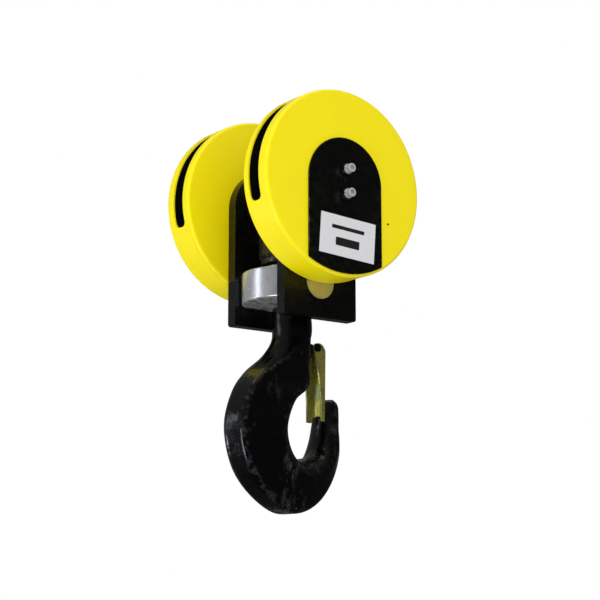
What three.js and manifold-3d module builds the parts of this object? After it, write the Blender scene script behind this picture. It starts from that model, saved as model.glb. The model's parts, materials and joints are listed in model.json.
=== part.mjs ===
// Four-fall crane hook block, 20 t class: two covered rope sheaves, a tilting crosshead and a
// swivelling single hook.
// Units are millimetres, +Z is up. The origin is on the sheave axle, midway between the two covers.
// +X is across the sheaves, +Y runs along the axle towards the rear cover.
import * as THREE from 'three';
import { mergeVertices } from 'three/addons/utils/BufferGeometryUtils.js';
import Module from 'manifold-3d';

const wasm = await Module();
wasm.setup();

// ---- driving dimensions -----------------------------------------------------------------------
const FIT_GAP = 0.3;            // room kept between pieces that touch
const AXLE_FIT = 0.6;           // radial room between the axle and the rings on it
const RUN_GAP = 1;              // room around pieces that turn in one another
const ROUND = 36;               // facets on a large round piece
const INNER_ROUND = 24;         // facets on the axle, bearings and sheaves
const SMALL_ROUND = 18;         // facets on a fastener

const PLATE_GAP = 177;          // clear width between the side plates
const PLATE_THICKNESS = 30;
const PLATE_RADIUS = 107;       // arched top, and half the plate's width
const PLATE_ARCH = -14;         // height of the arch's centre
const PLATE_BOTTOM = -311;
const PLATE_CORNER = 7;

const AXLE_RADIUS = 45;
const SLEEVE_RADIUS = 60;
const AXLE_BOLT_OFFSET = 30;    // axle bolts sit this far above and below the axis
const AXLE_BOLT = { shank: 6.8, hole: 7.5, head: 10.5, height: 14, socket: 12, socketDepth: 7 };
const TAP_DEPTH = 45;           // depth of the tapped holes in the axle's ends
const THICK_WASHER = { outer: 14, thickness: 8 };
const SPRING_WASHER = { outer: 12, thickness: 3.5 };

const COVER_RADIUS = 228;
const COVER_SHEET = 4;
const COVER_EDGE = 8;           // rounding of both cover edges
const COVER_OUTER = 214;        // outer face of a cover, from the middle of the block
const COVER_SEAM = 128;         // where the two halves of a cover meet
const COVER_LIP = 8;            // length of the lip that the outer half slides over
const END_PLATE_THICKNESS = 4;
const END_PLATE_HALF_WIDTH = 108;
const END_PLATE_INSET = 7;      // the plate's foot follows the cover's edge this far inside it
const DRAIN = { x: 131, z: -83, radius: 3 };

const ROPE_RADIUS = 9;
const SHEAVE_MIDDLE = 163;      // centre of the rope groove, from the middle of the block
const SHEAVE_RADIUS = 200;
const ROPE_LINE = 187;          // rope centre, from the axle
const SLOT_WIDTH = 42;
const SLOT_CORNER = 14;
const SLOT_FROM = -17;          // degrees above the horizontal, ends of the slot
const SLOT_TO = 60;
const HUB_HALF_WIDTH = 29;
const BEARING_RADIUS = 70;

const TRUNNION_HEIGHT = -225;
const TRUNNION_RADIUS = 37;
const BUSH_RADIUS = 40;
const CROSSHEAD_RADIUS = 121;
const CROSSHEAD_TOP = -189;
const CROSSHEAD_BOTTOM = -264;
const BEARING_RECESS = 12;
const THRUST_RADIUS = 75;
const WASHER_HEIGHT = 14;
const BALL_SPACE = 20;
const NUT_RADIUS = 79;
const NUT_HEIGHT = 60;
const LOCK_SCREW_AT = 51;
const LOCK_BAR = { length: 130, width: 22, height: 12 };

const HOOK_TURN = 15.5;         // degrees the hook's plane is turned about the shank from +X towards +Y
const SEAT_HEIGHT = -570;       // centre of the hook's bowl
const JOURNAL_RADIUS = 42.5;
const THREAD_RADIUS = 40;
const SHANK_SHOULDER = -272;

const LATCH_PIVOT = { u: 68, z: -362 };
const LATCH_LENGTH = 178;
const LATCH_WIDTH = 48;
const LATCH_SHEET = 4;
const NOSE_HALF_WIDTH = 12;
const PIVOT_RADIUS = 6;
const LATCH_BOLT_CORNERS = 21.1;

const LABEL = { width: 163, height: 98, x: 4.5, z: -135, tilt: 4 };

const plateInner = PLATE_GAP / 2;
const plateOuter = plateInner + PLATE_THICKNESS;
const coverInner = plateOuter + FIT_GAP;
const coverInnerSheet = coverInner + COVER_SHEET;
const coverOuterSheet = COVER_OUTER - COVER_SHEET;
const endPlateInner = COVER_OUTER + FIT_GAP;
const endPlateOuter = endPlateInner + END_PLATE_THICKNESS;
const washerFrom = endPlateOuter + FIT_GAP;
const springWasherFrom = washerFrom + THICK_WASHER.thickness + FIT_GAP;
const boltHeadFrom = springWasherFrom + SPRING_WASHER.thickness + FIT_GAP;
const seatTop = CROSSHEAD_TOP - BEARING_RECESS + FIT_GAP;
const ballsFrom = seatTop + WASHER_HEIGHT + FIT_GAP;
const upperWasherFrom = ballsFrom + BALL_SPACE + FIT_GAP;
const nutFrom = upperWasherFrom + WASHER_HEIGHT + FIT_GAP;
const nutTop = nutFrom + NUT_HEIGHT;
const shankTop = nutTop + LOCK_BAR.height;

// ---- materials --------------------------------------------------------------------------------
const paintedYellow = () => new THREE.MeshStandardMaterial({ color: 0xf3e31e, roughness: 0.4, metalness: 0 });
const paintedBlack = () => new THREE.MeshStandardMaterial({ color: 0x121214, roughness: 0.3, metalness: 0 });
const bareSteel = () => new THREE.MeshStandardMaterial({ color: 0xa9abae, roughness: 0.35, metalness: 1 });
const bearingSteel = () => new THREE.MeshStandardMaterial({ color: 0xc4c6c9, roughness: 0.2, metalness: 1 });
const zincPlated = () => new THREE.MeshStandardMaterial({ color: 0xc9ccd0, roughness: 0.3, metalness: 1 });
const yellowZinc = () => new THREE.MeshStandardMaterial({ color: 0xb7ab46, roughness: 0.35, metalness: 1 });
const bronze = () => new THREE.MeshStandardMaterial({ color: 0xb99a4a, roughness: 0.35, metalness: 1 });
const castIron = () => new THREE.MeshStandardMaterial({ color: 0x55585c, roughness: 0.55, metalness: 0.8 });
const labelSheet = () => new THREE.MeshStandardMaterial({ color: 0xe4e4e7, roughness: 0.45, metalness: 0 });

// ---- shape helpers ----------------------------------------------------------------------------
const radians = THREE.MathUtils.degToRad;

function solid(geometry) {
  const bare = geometry.clone();
  bare.deleteAttribute('normal');
  bare.deleteAttribute('uv');
  const merged = mergeVertices(bare, 1e-4);
  return new wasm.Manifold(new wasm.Mesh({
    numProp: 3,
    vertProperties: Float32Array.from(merged.attributes.position.array),
    triVerts: Uint32Array.from(merged.index.array),
  }));
}

function geometryOf(body) {
  const mesh = body.getMesh();
  const geometry = new THREE.BufferGeometry();
  geometry.setAttribute('position', new THREE.BufferAttribute(mesh.vertProperties, 3));
  geometry.setIndex(new THREE.BufferAttribute(mesh.triVerts, 1));
  geometry.computeVertexNormals();
  return geometry;
}

function cut(geometry, cutters) {
  return geometryOf(cutters.reduce((body, cutter) => body.subtract(solid(cutter)), solid(geometry)));
}

function join(geometries) {
  return geometryOf(geometries.map(solid).reduce((body, other) => body.add(other)));
}

function named(name, geometry, material) {
  const mesh = new THREE.Mesh(geometry, material);
  mesh.name = name;
  return mesh;
}

// A plain ring or disc about the Y axis, from one Y to another.
function ringAlongY(inner, outer, from, to, facets = ROUND) {
  const profile = [[inner, from], [outer, from], [outer, to], [inner, to], [inner, from]];
  return new THREE.LatheGeometry(profile.map(([r, y]) => new THREE.Vector2(r, y)), facets);
}

function rodAlongY(radius, from, to, facets = ROUND) {
  return new THREE.CylinderGeometry(radius, radius, to - from, facets).translate(0, (from + to) / 2, 0);
}

const upright = (geometry) => geometry.rotateX(Math.PI / 2);
const ringAlongZ = (inner, outer, from, to, facets) => upright(ringAlongY(inner, outer, from, to, facets));
const rodAlongZ = (radius, from, to, facets) => upright(rodAlongY(radius, from, to, facets));

// An outline drawn in the X-Z plane, given thickness along Y.
function slabAlongY(shape, from, to, curveSegments = 12) {
  const geometry = new THREE.ExtrudeGeometry(shape, { depth: to - from, bevelEnabled: false, curveSegments });
  return geometry.rotateX(Math.PI / 2).translate(0, to, 0);
}

function box(width, depth, height, x, y, z) {
  return new THREE.BoxGeometry(width, depth, height).translate(x, y, z);
}

function hexHead(acrossCorners, from, to) {
  return new THREE.CylinderGeometry(acrossCorners / 2, acrossCorners / 2, to - from, 6)
    .translate(0, (from + to) / 2, 0);
}

// ---- frame: side plates, axle and what the axle clamps ----------------------------------------
function archedOutline(halfWidth, centre, bottom, corner) {
  const shape = new THREE.Shape();
  shape.moveTo(halfWidth, centre);
  shape.absarc(0, centre, halfWidth, 0, Math.PI, false);
  shape.lineTo(-halfWidth, bottom + corner);
  shape.absarc(-halfWidth + corner, bottom + corner, corner, Math.PI, 1.5 * Math.PI, false);
  shape.absarc(halfWidth - corner, bottom + corner, corner, -0.5 * Math.PI, 0, false);
  return shape;
}

function sidePlate() {
  const outline = archedOutline(PLATE_RADIUS, PLATE_ARCH, PLATE_BOTTOM, PLATE_CORNER);
  const slab = slabAlongY(outline, plateInner, plateOuter, 16);
  const reach = plateOuter + 1;
  const axleBore = rodAlongY(AXLE_RADIUS + AXLE_FIT, plateInner - 1, reach);
  const bushBore = rodAlongY(BUSH_RADIUS + FIT_GAP, plateInner - 1, reach).translate(0, 0, TRUNNION_HEIGHT);
  return cut(slab, [axleBore, bushBore]);
}

function sheaveAxle() {
  const end = coverOuterSheet - FIT_GAP;
  const tapped = [-end, end].flatMap((y) => [-1, 1].map((side) => (
    rodAlongY(AXLE_BOLT.shank + FIT_GAP, y - TAP_DEPTH, y + TAP_DEPTH, SMALL_ROUND)
      .translate(0, 0, side * AXLE_BOLT_OFFSET))));
  return cut(rodAlongY(AXLE_RADIUS, -end, end, INNER_ROUND), tapped);
}

// The plate's outline: an arched top, straight sides and a foot that follows the cover's round edge.
function endPlateOutline() {
  const footRadius = COVER_RADIUS - END_PLATE_INSET;
  const footAngle = Math.acos(END_PLATE_HALF_WIDTH / footRadius);
  const shape = new THREE.Shape();
  shape.moveTo(END_PLATE_HALF_WIDTH, 0);
  shape.absarc(0, 0, END_PLATE_HALF_WIDTH, 0, Math.PI, false);
  shape.absarc(0, 0, footRadius, Math.PI + footAngle, 2 * Math.PI - footAngle, false);
  return shape;
}

function boltHoles(from, to) {
  return [-1, 1].map((side) => (
    rodAlongY(AXLE_BOLT.hole, from, to, SMALL_ROUND).translate(0, 0, side * AXLE_BOLT_OFFSET)));
}

function endPlate() {
  const slab = slabAlongY(endPlateOutline(), endPlateInner, endPlateOuter, 16);
  return cut(slab, boltHoles(endPlateInner - 1, endPlateOuter + 1));
}

// A cap screw with a hexagon socket.
function axleBolt() {
  const { shank, head, height, socket, socketDepth } = AXLE_BOLT;
  const top = boltHeadFrom + height;
  const shankRod = rodAlongY(shank, endPlateOuter - 40, boltHeadFrom + 1, SMALL_ROUND);
  const recess = hexHead(socket / Math.cos(radians(30)), top - socketDepth, top + 1);
  return cut(join([shankRod, rodAlongY(head, boltHeadFrom, top, SMALL_ROUND)]), [recess]);
}

// A split lock washer: a ring with a slanting cut through one side.
function springWasher() {
  const { outer, thickness } = SPRING_WASHER;
  const ring = ringAlongY(AXLE_BOLT.hole, outer, 0, thickness, SMALL_ROUND);
  const split = box(20, 20, 2.5, outer, 0, 0).rotateX(radians(30)).translate(0, thickness / 2, 0);
  return cut(ring, [split]);
}

// ---- covers -----------------------------------------------------------------------------------
const arcPoints = (centreR, centreY, radius, fromAngle, toAngle, steps) => (
  Array.from({ length: steps + 1 }, (_, i) => {
    const angle = radians(fromAngle + ((toAngle - fromAngle) * i) / steps);
    return [centreR + radius * Math.cos(angle), centreY + radius * Math.sin(angle)];
  }));

function lathe(points, facets = ROUND) {
  return new THREE.LatheGeometry(points.map(([r, y]) => new THREE.Vector2(Math.max(r, 0), y)), facets);
}

// A band cut through the rim of a cover, between two angles above the horizontal.
function rimBand(from, to, halfWidth) {
  const [innerR, outerR] = [COVER_RADIUS - 15, COVER_RADIUS + 10];
  const sector = new THREE.Shape();
  sector.absarc(0, 0, outerR, from, to, false);
  sector.absarc(0, 0, innerR, to, from, true);
  return slabAlongY(sector, SHEAVE_MIDDLE - halfWidth, SHEAVE_MIDDLE + halfWidth, 16);
}

// The slot that a rope leaves through, with rounded corners at both ends.
function ropeSlot(side) {
  const inset = SLOT_CORNER / COVER_RADIUS;
  const angles = [radians(SLOT_FROM), radians(SLOT_TO)];
  const [from, to] = side > 0 ? angles : angles.map((angle) => Math.PI - angle).reverse();
  const half = SLOT_WIDTH / 2;
  const corners = [from + inset, to - inset].flatMap((angle) => [-1, 1].map((edge) => (
    rodAlongY(SLOT_CORNER, COVER_RADIUS - 15, COVER_RADIUS + 10, SMALL_ROUND)
      .rotateZ(-Math.PI / 2)
      .rotateY(-angle)
      .translate(0, SHEAVE_MIDDLE + edge * (half - SLOT_CORNER), 0))));
  return join([rimBand(from + inset, to - inset, half), rimBand(from, to, half - SLOT_CORNER), ...corners]);
}

function outerCover() {
  const edgeY = COVER_OUTER - COVER_EDGE;
  const edgeR = COVER_RADIUS - COVER_EDGE;
  const innerR = COVER_RADIUS - COVER_SHEET;
  const shell = lathe([
    [0, coverOuterSheet],
    ...arcPoints(edgeR, edgeY, COVER_EDGE - COVER_SHEET, 90, 0, 2),
    [innerR, COVER_SEAM + FIT_GAP],
    [COVER_RADIUS, COVER_SEAM + FIT_GAP],
    ...arcPoints(edgeR, edgeY, COVER_EDGE, 0, 90, 3),
    [0, COVER_OUTER],
  ]);
  const drain = rodAlongY(DRAIN.radius, coverOuterSheet - 1, COVER_OUTER + 1, 12)
    .translate(-DRAIN.x, 0, DRAIN.z);
  return cut(shell, [ropeSlot(1), ropeSlot(-1), drain, ...boltHoles(coverOuterSheet - 1, COVER_OUTER + 1)]);
}

function innerCover() {
  const edgeY = coverInner + COVER_EDGE;
  const edgeR = COVER_RADIUS - COVER_EDGE;
  const lipR = COVER_RADIUS - COVER_SHEET - FIT_GAP;
  const bore = AXLE_RADIUS + AXLE_FIT;
  return lathe([
    [bore, coverInner],
    ...arcPoints(edgeR, edgeY, COVER_EDGE, -90, 0, 3),
    [COVER_RADIUS, COVER_SEAM],
    [lipR, COVER_SEAM],
    [lipR, COVER_SEAM + COVER_LIP],
    [lipR - COVER_SHEET, COVER_SEAM + COVER_LIP],
    [lipR - COVER_SHEET, edgeY],
    ...arcPoints(edgeR, edgeY, COVER_EDGE - COVER_SHEET - FIT_GAP, 0, -90, 2).slice(1, -1),
    [edgeR, coverInnerSheet],
    [bore, coverInnerSheet],
    [bore, coverInner],
  ]);
}

// ---- sheaves and their bearings ---------------------------------------------------------------
function sheave() {
  const [hubR, webR, rimHalf, webHalf] = [84, 162, 20, 9];
  const grooveR = ROPE_RADIUS * 1.06;
  const flank = 67.5;
  const arcEnd = ROPE_LINE - grooveR * Math.cos(radians(flank));
  const mouth = grooveR * Math.sin(radians(flank)) + (SHEAVE_RADIUS - arcEnd) * Math.tan(radians(90 - flank));
  return lathe([
    [BEARING_RADIUS, -HUB_HALF_WIDTH],
    [hubR, -HUB_HALF_WIDTH],
    [hubR + 6, -webHalf],
    [webR, -webHalf],
    [webR + 8, -rimHalf],
    [SHEAVE_RADIUS, -rimHalf],
    [SHEAVE_RADIUS, -mouth],
    ...arcPoints(ROPE_LINE, 0, grooveR, 180 + flank, 180 - flank, 4),
    [SHEAVE_RADIUS, mouth],
    [SHEAVE_RADIUS, rimHalf],
    [webR + 8, rimHalf],
    [webR, webHalf],
    [hubR + 6, webHalf],
    [hubR, HUB_HALF_WIDTH],
    [BEARING_RADIUS, HUB_HALF_WIDTH],
    [BEARING_RADIUS, -HUB_HALF_WIDTH],
  ], INNER_ROUND);
}

// The rollers in their cage, drawn as one piece because the cage carries them.
function rollerCage() {
  const [pitchR, rollerR, rollers, half] = [58.4, 3.7, 14, 25];
  const cage = ringAlongY(pitchR - 1.5, pitchR + 1.5, -half, half, 28);
  const turn = (2 * Math.PI) / rollers;
  const ring = Array.from({ length: rollers }, (_, i) => (
    rodAlongY(rollerR, -half + 3, half - 3, 8).translate(pitchR, 0, 0).rotateY(i * turn)));
  return join([cage, ...ring]);
}

function bearingInnerRing() {
  const half = HUB_HALF_WIDTH - FIT_GAP;
  return ringAlongY(AXLE_RADIUS + AXLE_FIT, 54, -half, half, INNER_ROUND);
}

function bearingOuterRing() {
  const half = HUB_HALF_WIDTH - 5;
  return ringAlongY(63, BEARING_RADIUS - FIT_GAP, -half, half, INNER_ROUND);
}

// A retaining ring beside the bearing's outer ring; its lugs leave a gap in the ring.
function circlip() {
  const thickness = 3;
  const gap = radians(14);
  const [innerR, outerR] = [63, BEARING_RADIUS - 1];
  const shape = new THREE.Shape();
  shape.absarc(0, 0, outerR, gap, 2 * Math.PI - gap, false);
  shape.absarc(0, 0, innerR, 2 * Math.PI - gap, gap, true);
  return slabAlongY(shape, -thickness / 2, thickness / 2, 10);
}

// ---- crosshead and thrust bearing -------------------------------------------------------------
function crosshead() {
  const [bottom, top, edge] = [CROSSHEAD_BOTTOM, CROSSHEAD_TOP, 5];
  const drum = lathe([
    [0, bottom],
    [CROSSHEAD_RADIUS - edge, bottom],
    [CROSSHEAD_RADIUS, bottom + edge],
    [CROSSHEAD_RADIUS, top - edge / 2],
    [CROSSHEAD_RADIUS - edge / 2, top],
    [0, top],
  ]);
  const width = PLATE_GAP - 2 * FIT_GAP - 1;
  const middle = box(3 * CROSSHEAD_RADIUS, width, 300, 0, 0, TRUNNION_HEIGHT);
  const body = solid(upright(drum)).intersect(solid(middle));
  const reach = plateOuter - FIT_GAP;
  const trunnions = rodAlongY(TRUNNION_RADIUS, -reach, reach).translate(0, 0, TRUNNION_HEIGHT);
  const bore = rodAlongZ(JOURNAL_RADIUS + RUN_GAP, bottom - 1, top + 1);
  const recess = rodAlongZ(THRUST_RADIUS + FIT_GAP, top - BEARING_RECESS, top + 1);
  return geometryOf(body.add(solid(trunnions)).subtract(solid(bore)).subtract(solid(recess)));
}

// The thrust bearing's balls in their cage, one piece because the cage carries them.
function ballCage() {
  const [pitchR, ballR, balls] = [59.5, BALL_SPACE / 2 - 0.1, 8];
  const middle = ballsFrom + BALL_SPACE / 2;
  const cage = ringAlongZ(pitchR - 9, pitchR + 9, middle - 4, middle + 4, 16);
  const turn = (2 * Math.PI) / balls;
  const ring = Array.from({ length: balls }, (_, i) => (
    new THREE.IcosahedronGeometry(ballR, 1).translate(pitchR, 0, middle).rotateZ(i * turn)));
  return join([cage, ...ring]);
}

// ---- hook -------------------------------------------------------------------------------------
// Forged sections from the shank to the tip. u and z are measured from the centre of the bowl, in
// the hook's plane:
// [inner u, inner z, outer u, outer z, width, length of the rounded inner side,
// half width of the flat outer side,
// radius of its two corners].
const HOOK_SECTIONS = [
  [47.5, 298, -47.5, 298, 95, 47.5, 47.5, 47.5],
  [47.5, 225, -47.5, 225, 95, 47.5, 47.5, 47.5],
  [41, 160, -76, 180, 99, 46, 46, 34],
  [32, 106, -146, 128, 112, 44, 40, 22],
  [-29, 62, -188, 81, 124, 42, 37, 17],
  [-60, 0, -217, -2, 127, 42, 36, 16],
  [-54, -32, -193, -94, 125, 42, 36, 16],
  [-31, -59, -136, -153, 118, 40, 37, 17],
  [0, -70, -26, -200, 110, 38, 38, 18],
  [36, -64, 62, -178, 103, 36, 36, 17],
  [76, -52, 131, -115, 95, 34, 33, 16],
  [97, -15, 163, -39, 87, 32, 30, 15],
  [108, 32, 155, 8, 77, 28, 27, 14],
  [113, 78, 165, 74, 64, 24, 23, 13],
  [122, 87, 148, 90, 41, 14, 14, 12],
];
const SECTION_POINTS = 20;
const STEPS_PER_SECTION = 3;

// One section: the outline around an elliptical inner side and a narrower flat outer side with round corners.
function hookSection(inner, outer, width, corner) {
  const [innerNose, outerHalf] = [inner.y, outer.y];
  const depth = Math.hypot(outer.x - inner.x, outer.z - inner.z);
  const along = { u: (outer.x - inner.x) / depth, z: (outer.z - inner.z) / depth };
  return Array.from({ length: SECTION_POINTS }, (_, i) => {
    const angle = (2 * Math.PI * (i + 0.5)) / SECTION_POINTS;
    const [across, sideways] = [-Math.cos(angle), Math.sin(angle)];
    const reach = Math.hypot(innerNose * across, (width / 2) * sideways);
    const onInner = [innerNose + (innerNose ** 2 * across) / reach, ((width / 2) ** 2 * sideways) / reach];
    const cornerAt = Math.sign(sideways) * (outerHalf - corner);
    const onOuter = [depth - corner + corner * across, cornerAt + corner * sideways];
    const further = ([p, q]) => p * across + q * sideways;
    const [p, q] = further(onInner) >= further(onOuter) ? onInner : onOuter;
    return [inner.x + along.u * p, q, inner.z + along.z * p + SEAT_HEIGHT];
  });
}

function hookForging() {
  const curveOf = (pick) => new THREE.CatmullRomCurve3(HOOK_SECTIONS.map(pick), false, 'centripetal');
  const inner = curveOf(([u, z, , , , nose]) => new THREE.Vector3(u, nose, z));
  const outer = curveOf(([, , u, z, , , radius]) => new THREE.Vector3(u, radius, z));
  const widths = curveOf(([, , , , width, , , corner], i) => new THREE.Vector3(width, corner, 10 * i));
  const steps = (HOOK_SECTIONS.length - 1) * STEPS_PER_SECTION;
  const rings = Array.from({ length: steps + 1 }, (_, i) => {
    const t = i / steps;
    const { x: width, y: corner } = widths.getPoint(t);
    return hookSection(inner.getPoint(t), outer.getPoint(t), width, corner);
  });
  return loft(rings);
}

// A closed body through rings of points that all have the same number of points.
function loft(rings) {
  const count = rings[0].length;
  const index = [];
  for (let ring = 0; ring < rings.length - 1; ring += 1) {
    for (let i = 0; i < count; i += 1) {
      const [a, b] = [ring * count + i, ring * count + ((i + 1) % count)];
      index.push(a, a + count, b, b, a + count, b + count);
    }
  }
  const last = (rings.length - 1) * count;
  for (let i = 1; i < count - 1; i += 1) {
    index.push(0, i, i + 1, last, last + i + 1, last + i);
  }
  const geometry = new THREE.BufferGeometry();
  geometry.setAttribute('position', new THREE.Float32BufferAttribute(rings.flat(2), 3));
  geometry.setIndex(index);
  return geometry;
}

function hookShank() {
  const chamfer = 4;
  const turned = upright(lathe([
    [0, SHANK_SHOULDER - 30],
    [JOURNAL_RADIUS, SHANK_SHOULDER - 30],
    [JOURNAL_RADIUS, nutFrom - 3],
    [THREAD_RADIUS, nutFrom - 0.5],
    [THREAD_RADIUS, shankTop - chamfer],
    [THREAD_RADIUS - chamfer, shankTop],
    [0, shankTop],
  ]));
  const slotHeight = LOCK_BAR.height + FIT_GAP;
  const slotWidth = LOCK_BAR.width + 2 * FIT_GAP;
  return cut(turned, [box(3 * THREAD_RADIUS, slotWidth, 2 * slotHeight, 0, 0, shankTop)]);
}

// The lug on the throat side of the shank that the latch turns on. It rises from below, clear of the shank.
function hookNose() {
  const { u, z } = LATCH_PIVOT;
  const radius = 13;
  const shape = new THREE.Shape();
  shape.moveTo(20, z - 40);
  shape.lineTo(46, z - 20);
  shape.absarc(u, z, radius, radians(170), radians(-60), true);
  shape.lineTo(20, z - 85);
  return slabAlongY(shape, -NOSE_HALF_WIDTH, NOSE_HALF_WIDTH, 8);
}

function hook() {
  const forged = join([hookForging(), hookShank(), hookNose()]);
  const eye = rodAlongY(PIVOT_RADIUS + 0.6, -60, 60, SMALL_ROUND).translate(LATCH_PIVOT.u, 0, LATCH_PIVOT.z);
  return cut(forged, [eye]);
}

function hookNut() {
  const chamfer = 6;
  const bore = THREAD_RADIUS + FIT_GAP;
  const body = upright(lathe([
    [bore, nutFrom],
    [NUT_RADIUS - chamfer, nutFrom],
    [NUT_RADIUS, nutFrom + chamfer],
    [NUT_RADIUS, nutTop - chamfer],
    [NUT_RADIUS - chamfer, nutTop],
    [bore, nutTop],
    [bore, nutFrom],
  ]));
  const spannerSlots = [45, 135, 225, 315].map((angle) => (
    box(14, 12, 2 * NUT_HEIGHT, NUT_RADIUS + 2, 0, nutTop).rotateZ(radians(angle))));
  const tapped = [-1, 1].map((side) => (
    rodAlongZ(5.3, nutTop - 25, nutTop + 1, 12).translate(side * LOCK_SCREW_AT, 0, 0)));
  return cut(body, [...spannerSlots, ...tapped]);
}

function lockBar() {
  const from = nutTop + FIT_GAP;
  const { length, width, height } = LOCK_BAR;
  const bar = box(length, width, height - FIT_GAP, 0, 0, from + (height - FIT_GAP) / 2);
  const holes = [-1, 1].map((side) => (
    rodAlongZ(5.5, from - 1, from + height + 1, 12).translate(side * LOCK_SCREW_AT, 0, 0)));
  return cut(bar, holes);
}

function lockScrew() {
  const headFrom = shankTop + FIT_GAP;
  return join([
    rodAlongZ(5, nutTop - 18, headFrom + 1, 12),
    rodAlongZ(8, headFrom, headFrom + 5, 18),
  ]);
}

// ---- latch ------------------------------------------------------------------------------------
// A sheet channel that is open towards the throat: deep cheeks at the pivot, shallow ones at the toe.
// Measured from the pivot, in the hook's plane.
function latchChannel() {
  const [topU, toeU, toeDepth] = [40, 37, 17];
  const outline = new THREE.Shape([
    [-9, -4], [-8.5, 3], [-5, 9], [2, 12.5], [15, 14], [27, 9.5], [36, 0], [topU, -12],
    [toeU, -LATCH_LENGTH], [toeU - toeDepth, -LATCH_LENGTH],
    [19, -130], [15, -92], [10.5, -70], [2, -42], [-6.5, -18],
  ].map(([u, z]) => new THREE.Vector2(u, z)));
  const half = LATCH_WIDTH / 2;
  const sheetHalf = half - LATCH_SHEET;
  const body = slabAlongY(outline, -half, half);
  const inside = new THREE.Shape();
  inside.moveTo(topU - LATCH_SHEET, -16);
  inside.lineTo(20, 30);
  inside.lineTo(-60, 30);
  inside.lineTo(-60, -LATCH_LENGTH - 5);
  inside.lineTo(toeU - LATCH_SHEET, -LATCH_LENGTH - 5);
  const hollow = slabAlongY(inside, -sheetHalf, sheetHalf);
  const toeNotch = rodAlongY(sheetHalf, -20, 20, SMALL_ROUND)
    .rotateZ(-Math.PI / 2)
    .scale(1, 1, 0.75)
    .translate(toeU, 0, -LATCH_LENGTH);
  const bore = rodAlongY(PIVOT_RADIUS + 0.6, -60, 60, SMALL_ROUND);
  return cut(body, [hollow, toeNotch, bore]);
}

function latchBolt() {
  const half = LATCH_WIDTH / 2 + 0.6;
  return join([
    rodAlongY(PIVOT_RADIUS, -half - 1, half + 13, SMALL_ROUND),
    hexHead(LATCH_BOLT_CORNERS, -half - 7.5, -half),
  ]);
}

function latchNut() {
  const from = LATCH_WIDTH / 2 + 0.6;
  const bore = rodAlongY(PIVOT_RADIUS + FIT_GAP, from - 1, from + 11, SMALL_ROUND);
  return cut(hexHead(LATCH_BOLT_CORNERS, from, from + 10), [bore]);
}

// A torsion spring beside the nose: two turns around the bolt with a short leg at each end.
function latchSpring() {
  const [coilR, wireR, turns, steps] = [9.5, 1.3, 2, 20];
  const [from, to] = [NOSE_HALF_WIDTH + 2, NOSE_HALF_WIDTH + 6];
  const turnPoints = Array.from({ length: steps + 1 }, (_, i) => {
    const angle = radians(-40) + (turns * 2 * Math.PI * i) / steps;
    const height = from + ((to - from) * i) / steps;
    return new THREE.Vector3(coilR * Math.cos(angle), height, coilR * Math.sin(angle));
  });
  const leg = new THREE.Vector3(22, to, -22);
  const path = new THREE.CatmullRomCurve3([...turnPoints, leg], false, 'centripetal');
  const wire = new THREE.Shape();
  wire.absarc(0, 0, wireR, 0, 2 * Math.PI, false);
  return new THREE.ExtrudeGeometry(wire, {
    steps: 36,
    curveSegments: 3,
    bevelEnabled: false,
    extrudePath: path,
  });
}

// ---- assembly ---------------------------------------------------------------------------------
const block = new THREE.Group();

// Everything on one side of the block, drawn for the rear; the front is the same group turned
// half round about Z.
function sideAssembly(end) {
  const side = new THREE.Group();
  side.add(
    named(`side_plate_${end}`, sidePlate(), paintedBlack()),
    named(`cover_inner_half_${end}`, innerCover(), paintedYellow()),
    named(`cover_outer_half_${end}`, outerCover(), paintedYellow()),
    named(`end_plate_${end}`, endPlate(), paintedBlack()),
  );
  const spacers = [
    ['inner', coverInnerSheet + FIT_GAP, SHEAVE_MIDDLE - HUB_HALF_WIDTH],
    ['outer', SHEAVE_MIDDLE + HUB_HALF_WIDTH, coverOuterSheet - FIT_GAP],
  ];
  for (const [place, from, to] of spacers) {
    const ring = ringAlongY(AXLE_RADIUS + AXLE_FIT, 56, from, to, INNER_ROUND);
    side.add(named(`spacer_ring_${place}_${end}`, ring, bareSteel()));
  }
  for (const [place, direction] of [['upper', 1], ['lower', -1]]) {
    const bolt = named(`axle_bolt_${place}_${end}`, axleBolt(), zincPlated());
    const thickRing = ringAlongY(AXLE_BOLT.hole, THICK_WASHER.outer, 0, THICK_WASHER.thickness, SMALL_ROUND);
    const washer = named(`axle_washer_${place}_${end}`, thickRing, paintedBlack());
    const lockWasher = named(`spring_washer_${place}_${end}`, springWasher(), zincPlated());
    bolt.position.z = direction * AXLE_BOLT_OFFSET;
    washer.position.set(0, washerFrom, direction * AXLE_BOLT_OFFSET);
    lockWasher.position.set(0, springWasherFrom, direction * AXLE_BOLT_OFFSET);
    side.add(bolt, washer, lockWasher);
  }
  const bush = ringAlongY(TRUNNION_RADIUS + FIT_GAP, BUSH_RADIUS, plateInner + FIT_GAP, plateOuter - FIT_GAP);
  const trunnionBush = named(`trunnion_bush_${end}`, bush, bronze());
  trunnionBush.position.z = TRUNNION_HEIGHT;

  const wheel = new THREE.Group();
  wheel.position.y = SHEAVE_MIDDLE;
  wheel.add(
    named(`sheave_${end}`, sheave(), castIron()),
    named(`bearing_inner_ring_${end}`, bearingInnerRing(), bearingSteel()),
    named(`bearing_roller_cage_${end}`, rollerCage(), bearingSteel()),
    named(`bearing_outer_ring_${end}`, bearingOuterRing(), bearingSteel()),
  );
  for (const [place, direction] of [['inner', -1], ['outer', 1]]) {
    const clip = named(`circlip_${place}_${end}`, circlip(), bearingSteel());
    clip.position.y = direction * (HUB_HALF_WIDTH - 3);
    wheel.add(clip);
  }
  side.add(trunnionBush, wheel);
  return side;
}

const rear = sideAssembly('rear');
const front = sideAssembly('front');
front.rotation.z = Math.PI;

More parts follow.
